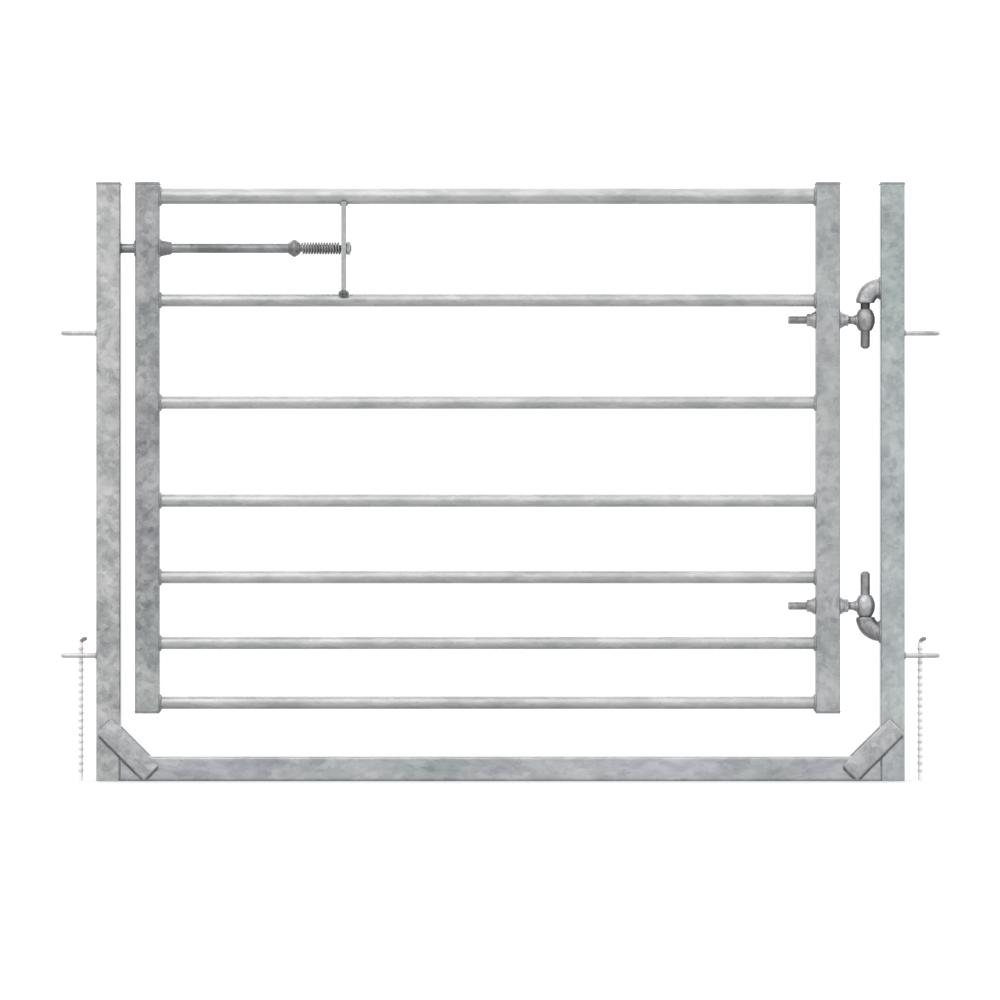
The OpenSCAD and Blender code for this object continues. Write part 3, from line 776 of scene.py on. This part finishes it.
class GATE_OT_latch_bolt(Operator):
    """Sliding bolt with its tail thread, drawing collar and end nut"""

    bl_idname = "gate.latch_bolt"
    bl_label = "Latch bolt"

    def execute(self, context):
        sizes = context.scene.gate_sizes
        low, high, middle = span("latch_bolt")
        collar_low, collar_high, _ = span("bolt_collar")
        nut_low, nut_high, _ = span("bolt_end_nut")
        axis_z, bolt_r, tail_r = middle[2], high[1], sizes.tail_d / 2
        shoulder, total, nose = collar_high[0] - low[0], high[0] - low[0], 2 * MM
        cut_from = span("bolt_strap")[0][0] - sizes.tail_run - low[0]
        # Circles along the bolt: blunt nose, bar, shoulder and threaded tail
        tip = np.array([0, 0.3 * MM, nose, nose + 0.4 * MM])
        bar = np.linspace(30 * MM, shoulder - 0.6 * MM, 14)
        tail = np.arange(cut_from, total - 0.1 * MM, sizes.tail_pitch / THREAD_ROWS)
        s = np.r_[tip, bar, shoulder - 0.1 * MM, shoulder, shoulder, tail, total]
        radius = np.r_[bolt_r - nose, bolt_r - nose + 0.4 * MM, bolt_r - 0.2 * MM, bolt_r,
                       0 * bar + bolt_r, bolt_r - 0.3 * MM, bolt_r - 0.6 * MM, tail_r,
                       0 * tail + tail_r, tail_r]
        cut = thread(s, BAR_SIDES, tail_r, sizes.tail_depth, sizes.tail_pitch)
        point = 1.2 * MM * np.clip(1 - (total - s) / MM, 0, 1)[:, None]
        radius = np.where(s[:, None] > cut_from, cut - point, radius[:, None])
        make_piece("latch_bolt_bar", [lathe((low[0], 0, axis_z), s, radius)], "bolt_steel", "bolt",
                   ["latch_bolt"])
        width, rim_r = (collar_high - collar_low)[0], collar_high[1]
        foot_r, rim = bolt_r + sizes.collar_wall, (width - sizes.collar_rim) / 2
        # Two mirrored tapers that meet in the collar's rim
        half = np.array([0, 0.3 * MM, rim - 0.5 * MM, rim, rim + 0.5 * MM])
        half_r = np.array([foot_r - 0.3 * MM, foot_r, rim_r - 0.7 * MM, rim_r - 0.2 * MM, rim_r])
        collar = lathe((collar_low[0], 0, axis_z), np.r_[half, width - half[::-1], width, 0],
                       np.r_[half_r, half_r[::-1], bolt_r + PLAY, bolt_r + PLAY], True)
        make_piece("bolt_collar_turned", [collar], "bush_steel", "bolt",
                   ["bolt_collar"])
        nut = hex_nut((nut_low[0], 0, axis_z), X, sizes.end_nut_flats, (nut_high - nut_low)[0],
                      tail_r + PLAY, 0.0)
        make_piece("bolt_end_nut_turned", [nut], "hinge_light", "bolt",
                   ["bolt_end_nut"])
        return {"FINISHED"}


class GATE_OT_bolt_guide(Operator):
    """Tapered bush on the latch stile"""

    bl_idname = "gate.bolt_guide"
    bl_label = "Bolt guide"

    def execute(self, context):
        sizes = context.scene.gate_sizes
        low, high, middle = span("bolt_guide")
        width, foot_r, tip_r, rim = (high - low)[0], high[1], sizes.guide_tip / 2, sizes.guide_rim
        bore_r = span("latch_bolt")[1][1] + 0.3 * MM
        # Rim, taper to the tip and bore, turned about the bolt
        along = (0, rim - 0.6 * MM, rim, rim + 0.8 * MM, width - 1.2 * MM, width - 0.35 * MM,
                 width, width, width - 0.5 * MM, 0)
        radius = (foot_r, foot_r, foot_r - 0.15 * MM, foot_r - 0.6 * MM, tip_r + 0.5 * MM,
                  tip_r + 0.05 * MM, tip_r - 0.5 * MM, bore_r + 0.5 * MM, bore_r, bore_r)
        bush = lathe((low[0], 0, middle[2]), along, radius, True)
        make_piece("bolt_guide_bush", [bush], "bush_steel", "gate", ["bolt_guide"])
        return {"FINISHED"}


class GATE_OT_bolt_spring(Operator):
    """Coil spring of round wire, built at one length; the real spring closes up as the bolt is drawn"""

    bl_idname = "gate.bolt_spring"
    bl_label = "Bolt spring"

    def execute(self, context):
        sizes = context.scene.gate_sizes
        low, high, middle = span("bolt_spring")
        wire_r, rest = sizes.wire_d / 2, (high - low)[0]
        coil_r = high[1] - wire_r
        turn = np.linspace(0, 2 * pi * sizes.coil_turns, sizes.coil_turns * COIL_ROWS + 1)[:, None]
        pitch = (rest - 2 * wire_r) / turn[-1]
        # A helix about the bolt, with a circle of wire carried along it
        radial = np.cos(turn) * Y + np.sin(turn) * Z
        path = np.array([low[0] + wire_r, 0, middle[2]]) + turn * pitch * X + coil_r * radial
        tangent = unit(coil_r * (np.cos(turn) * Z - np.sin(turn) * Y) + pitch * X)
        radius = np.full((len(turn), 1), wire_r)
        radius[[0, -1]] *= 0.72
        around = angles(WIRE_SIDES)
        grid = carry(path, radial, np.cross(tangent, radial), radius * np.cos(around),
                     radius * np.sin(around))
        spring = make_piece("bolt_spring_coil", [skin(grid)], "spring_steel", "gate",
                            ["bolt_spring"])
        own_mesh(spring)
        return {"FINISHED"}


class GATE_OT_ground_pins(Operator):
    """Ribbed ground pins with bent heads"""

    bl_idname = "gate.ground_pins"
    bl_label = "Ground pins"

    def execute(self, context):
        sizes = context.scene.gate_sizes
        core, bend, pitch = sizes.stake_d / 2, sizes.stake_bend, sizes.rib_pitch
        for node, loop in zip(("left_ground_pin", "right_ground_pin"), LOOP_NODES["low_loop"]):
            low, high, middle = span(node)
            rib = (high - low)[1] / 2 - core
            centre = np.array([low[0] + core + rib, middle[1], 0])
            height = high[2] - bend - core
            up = np.arange(0, height - 0.2 * MM, 0.5 * MM)
            turn = np.linspace(0, pi / 2, 22)
            out = np.linspace(0.3 * MM, high[0] - centre[0] - bend, 5)
            # Circles up the pin, round its bend and out, swollen by a smooth step at each rib
            x = np.r_[0 * up, bend * (1 - np.cos(turn)), bend + out]
            z = np.r_[up, height + bend * np.sin(turn), 0 * out + height + bend]
            path = centre + np.column_stack([x, 0 * x, z])
            tilt = np.r_[0 * up, turn, 0 * out + pi / 2]
            tangent = np.column_stack([np.sin(tilt), 0 * tilt, np.cos(tilt)])
            s = np.r_[up, height + bend * turn, height + bend * pi / 2 + out][:, None]
            loop_z = span(loop)[2][2]
            crest = loop_z + pitch * np.round((s - loop_z) / pitch)
            ribs = (crest > pitch) & (crest < height - 2 * rib) & (s < height)
            lean = 0.2 * rib * np.sin(angles(BAR_SIDES))
            # Distance from a rib's crest, in heights of a rib
            off = np.abs(s - crest - lean) / rib
            slope = np.clip(2 - off, 0, 1) * ribs
            radius = core + 0.96 * rib * slope * slope * (3 - 2 * slope)
            radius[-2:] -= np.array([[0.6 * MM], [1.4 * MM]])
            # Level for the material: worn zinc on each rib with painted shade that reaches past it, and
            # full painted shade over the bent head
            head = np.clip((s - height) / (0.5 * bend), 0, 1)
            wear = np.maximum(0.5 * np.clip((3.2 - off) / 1.5, 0, 1) * ribs, head)
            make_piece(node + "_bar", [skin(sweep(path, tangent, Y, radius))], "pin_steel", "frame",
                       [node], wear)
        return {"FINISHED"}


class GATE_OT_frame_welds(Operator):
    """Welds of the standing frame: gudgeons, loops, bottom rail, braces and end plates, and dark beads
    of painted shadow along the braces' lower edges and lower ends
    """

    bl_idname = "gate.frame_welds"
    bl_label = "Frame welds"

    def execute(self, context):
        sizes = context.scene.gate_sizes
        shells, dark_beads = [], []
        for node in GUDGEON_NODES:
            face_x, _, root_z, _, _, _, root_r, _ = gudgeon_lines(node)
            shells.append(ring_bead((face_x, 0, root_z), root_r, sizes.root_bead))
        for node in sum(LOOP_NODES.values(), ()):
            low, high, middle = span(node)
            bar_r = (high - low)[2] / 2
            face = low[0] if node.endswith("right_loop") else high[0]
            for y in (low[1] + bar_r, high[1] - bar_r):
                shells.append(ring_bead((face, y, middle[2]), bar_r, sizes.loop_bead))
        low, high, _ = span("bottom_rail")
        reach, top, inset = high[1] - BOX_CORNER, high[2], 3 * MM
        for x in (low[0], high[0]):
            shells.append(line_bead((x, -reach, top), (x, reach, top), Z, sizes.seam_bead))
            for y in (low[1], high[1]):
                shells.append(line_bead((x, y, inset), (x, y, top - inset), X, 0.6 * sizes.seam_bead))
        for node in BRACE_NODES:
            middle, along, across, half_l, half_w, half_t = brace_lines(node)
            seat = middle - np.sign(middle[1]) * half_t * Y
            half = 0.85 * half_w * across
            # The bead at a brace's lower end is a dark bead of painted shadow; the one at its upper end
            # is a weld
            for end, group, size in ((-1, dark_beads, 1.6), (1, shells, 1.0)):
                tip = seat + end * half_l * along
                group.append(line_bead(tip - half, tip + half, Y, size * sizes.brace_bead))
            # A dark bead of painted shadow along the brace's lower edge
            edge, half = seat + half_w * across, 0.95 * half_l * along
            dark_beads.append(line_bead(edge - half, edge + half, Y, sizes.brace_shadow_bead))
        for post in ("latch_post", "hinge_post"):
            dark_beads.append(square_bead(post, span(post + "_cap")[0][2]))
        make_piece("frame_welds", shells, "weld", "frame")
        make_piece("frame_seams", dark_beads, "seam", "frame")
        return {"FINISHED"}


class GATE_OT_leaf_welds(Operator):
    """Welds of the leaf: rails, end plates, bolt strap and bolt guide"""

    bl_idname = "gate.leaf_welds"
    bl_label = "Leaf welds"

    def rail_welds(self, node, places, radius, trim=None, across=Y):
        """Welds round a rail at each x, whole or over one half less a trim at both ends."""
        low, high, middle = span(node)
        arc = () if trim is None else (trim, pi - trim)
        return [ring_bead((x, 0, middle[2]), (high - low)[2] / 2, radius, *arc, across=across)
                for x in places]

    def execute(self, context):
        sizes = context.scene.gate_sizes
        shells, dark_beads = [], []
        for node in RAIL_NODES:
            low, high, _ = span(node)
            shells += self.rail_welds(node, (low[0], high[0]), sizes.rail_bead)
        for stile in ("latch_stile", "hinge_stile"):
            low, high, _ = span(stile)
            dark_beads += [square_bead(stile, z) for z in (low[2], high[2])]
        strap_low, strap_high, _ = span("bolt_strap")
        sides = strap_low[0], strap_high[0]
        shells += self.rail_welds("top_rail", sides, sizes.foot_bead, 0.8, -Y)
        low, high, middle = span("bolt_guide")
        outer = span("latch_stile")[0][0]
        for x, ring, share in ((low[0], high[1], 0.7), (outer, sizes.keeper_ring, 0.75)):
            shells.append(ring_bead((x, 0, middle[2]), ring, share * sizes.rail_bead))
        make_piece("leaf_welds", shells, "weld", "gate")
        make_piece("leaf_seams", dark_beads, "seam", "gate")
        blob = sizes.foot_blob
        # Darker weld blobs at the strap's lower foot on the second rail
        dark_foot = self.rail_welds("rail_2", sides, 0.7 * blob, 0.5)
        seat_y, seat_z = strap_high[1] - 1.5 * MM, span("rail_2")[1][2] + 1 * MM
        first, last = sides[0] - 0.9 * blob, sides[1] + 0.9 * blob
        for y in (-seat_y, seat_y):
            dark_foot.append(line_bead((first, y, seat_z), (last, y, seat_z), Z, blob))
        make_piece("strap_weld", dark_foot, "weld_scale", "gate")
        return {"FINISHED"}


class GATE_OT_stage(Operator):
    """Pale floor, soft light all round and the photograph's camera"""

    bl_idname = "gate.stage"
    bl_label = "Stage"

    def execute(self, context):
        scene = context.scene
        scene.view_settings.view_transform = "Standard"
        # Width of the picture at the gate's front in metres, lens and sensor in millimetres
        width, lens, sensor = 1.669, 200.0, 36.0
        middle_x, front_y, middle_z, floor_z = -0.0008, -0.02, 0.469, -0.0006
        camera = bpy.data.objects.new("camera", bpy.data.cameras.new("camera"))
        camera.data.lens = lens
        camera.data.sensor_width = sensor
        camera.data.clip_end = 100.0
        camera.location = (middle_x, front_y - width * lens / sensor, middle_z)
        camera.rotation_euler = (pi / 2, 0, 0)
        scene.collection.objects.link(camera)
        scene.camera = camera
        # A flat disc of rings that faces up
        rings = np.r_[0.05, np.linspace(0.3, 3.2, 16)][:, None]
        turn = angles(FLOOR_SIDES)[::-1]
        grid = rings[..., None] * np.column_stack([np.cos(turn), np.sin(turn), 0 * turn]) + floor_z * Z
        points, (quads, hub, _) = skin(grid)
        floor = new_object("floor", [(points, [quads, hub])], self.floor_material(scene.gate_colours))
        self.light(scene)
        return {"FINISHED"}

    def floor_material(self, tones):
        """Matt pale floor that fades out at its rim."""
        s = Shader("gate_floor")
        away = s.add("VectorMath", {0: s.place}, operation="LENGTH").outputs["Value"]
        grain = s.noise(s.place, 40.0)
        dim = [0.99 * level for level in tones.floor]
        shade = s.mix(s.step(grain, 0.2, 0.8), dim, tones.floor)
        s.fill(s.surface, {"Alpha": s.step(away, 1.4, 3.1, 1.0, 0.0),
                           "Emission Color": tones.floor_glow, "Emission Strength": 1.0})
        return s.finish(shade, 0.9, 0.0)

    def light(self, scene):
        """A white sky, brighter overhead than at the horizon, and one large soft lamp."""
        world = bpy.data.worlds.new("studio")
        world.use_nodes = True
        tree = world.node_tree
        tree.nodes.clear()
        chain = [tree.nodes.new("ShaderNode" + kind) for kind in
                 ("TexCoord", "SeparateXYZ", "MapRange", "ValToRGB", "Background", "OutputWorld")]
        _, _, height, ramp, sky, _ = chain
        height.inputs["From Min"].default_value = -1.0
        fill_ramp(ramp, [(position, (level, level, level)) for position, level in
                         ((0.0, 0.2), (0.45, 0.52), (0.64, 0.88), (1.0, 0.95))])
        sky.inputs["Strength"].default_value = 2.0
        for first, second, out, into in zip(chain, chain[1:],
                                            ("Generated", "Z", "Result", "Color", "Background"),
                                            ("Vector", "Value", "Fac", "Color", "Surface")):
            tree.links.new(first.outputs[out], second.inputs[into])
        scene.world = world
        lamp = bpy.data.lights.new("soft_lamp", "AREA")
        lamp.shape = "RECTANGLE"
        lamp.size, lamp.size_y, lamp.energy = 2.4, 1.6, 20.0
        lamp_object = bpy.data.objects.new("soft_lamp", lamp)
        lamp_object.location = (-1.6, -2.6, 3.2)
        lamp_object.rotation_euler = (radians(42), 0, radians(-30))
        scene.collection.objects.link(lamp_object)


OPERATORS = (GATE_OT_stage, GATE_OT_box_sections, GATE_OT_rails, GATE_OT_bars,
             GATE_OT_corner_braces, GATE_OT_gudgeons, GATE_OT_eye_bolts, GATE_OT_hinge_nuts,
             GATE_OT_latch_bolt, GATE_OT_bolt_guide, GATE_OT_bolt_spring, GATE_OT_ground_pins,
             GATE_OT_frame_welds, GATE_OT_leaf_welds)


class GATE_PT_looks(Panel):
    """Steps that dress the gate, with their sizes and colours"""

    bl_idname = "GATE_PT_looks"
    bl_label = "Livestock gate"
    bl_space_type = "VIEW_3D"
    bl_region_type = "UI"
    bl_category = "Gate"

    def draw(self, context):
        for operator in OPERATORS:
            self.layout.operator(operator.bl_idname)
        for group in (context.scene.gate_sizes, context.scene.gate_colours):
            for name in group.__annotations__:
                self.layout.prop(group, name)


CLASSES = (GateSizes, GateColours, *OPERATORS, GATE_PT_looks)


def register():
    for cls in CLASSES:
        bpy.utils.register_class(cls)
    bpy.types.Scene.gate_sizes = bpy.props.PointerProperty(type=GateSizes)
    bpy.types.Scene.gate_colours = bpy.props.PointerProperty(type=GateColours)


def unregister():
    del bpy.types.Scene.gate_colours
    del bpy.types.Scene.gate_sizes
    for cls in reversed(CLASSES):
        bpy.utils.unregister_class(cls)


def main():
    """Registers the add-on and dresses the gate."""
    register()
    bpy.ops.gate.stage()
    bpy.ops.gate.box_sections()
    bpy.ops.gate.rails()
    bpy.ops.gate.bars()
    bpy.ops.gate.corner_braces()
    bpy.ops.gate.gudgeons()
    bpy.ops.gate.eye_bolts()
    bpy.ops.gate.hinge_nuts()
    bpy.ops.gate.latch_bolt()
    bpy.ops.gate.bolt_guide()
    bpy.ops.gate.bolt_spring()
    bpy.ops.gate.ground_pins()
    bpy.ops.gate.frame_welds()
    bpy.ops.gate.leaf_welds()


if __name__ == "__main__":
    main()
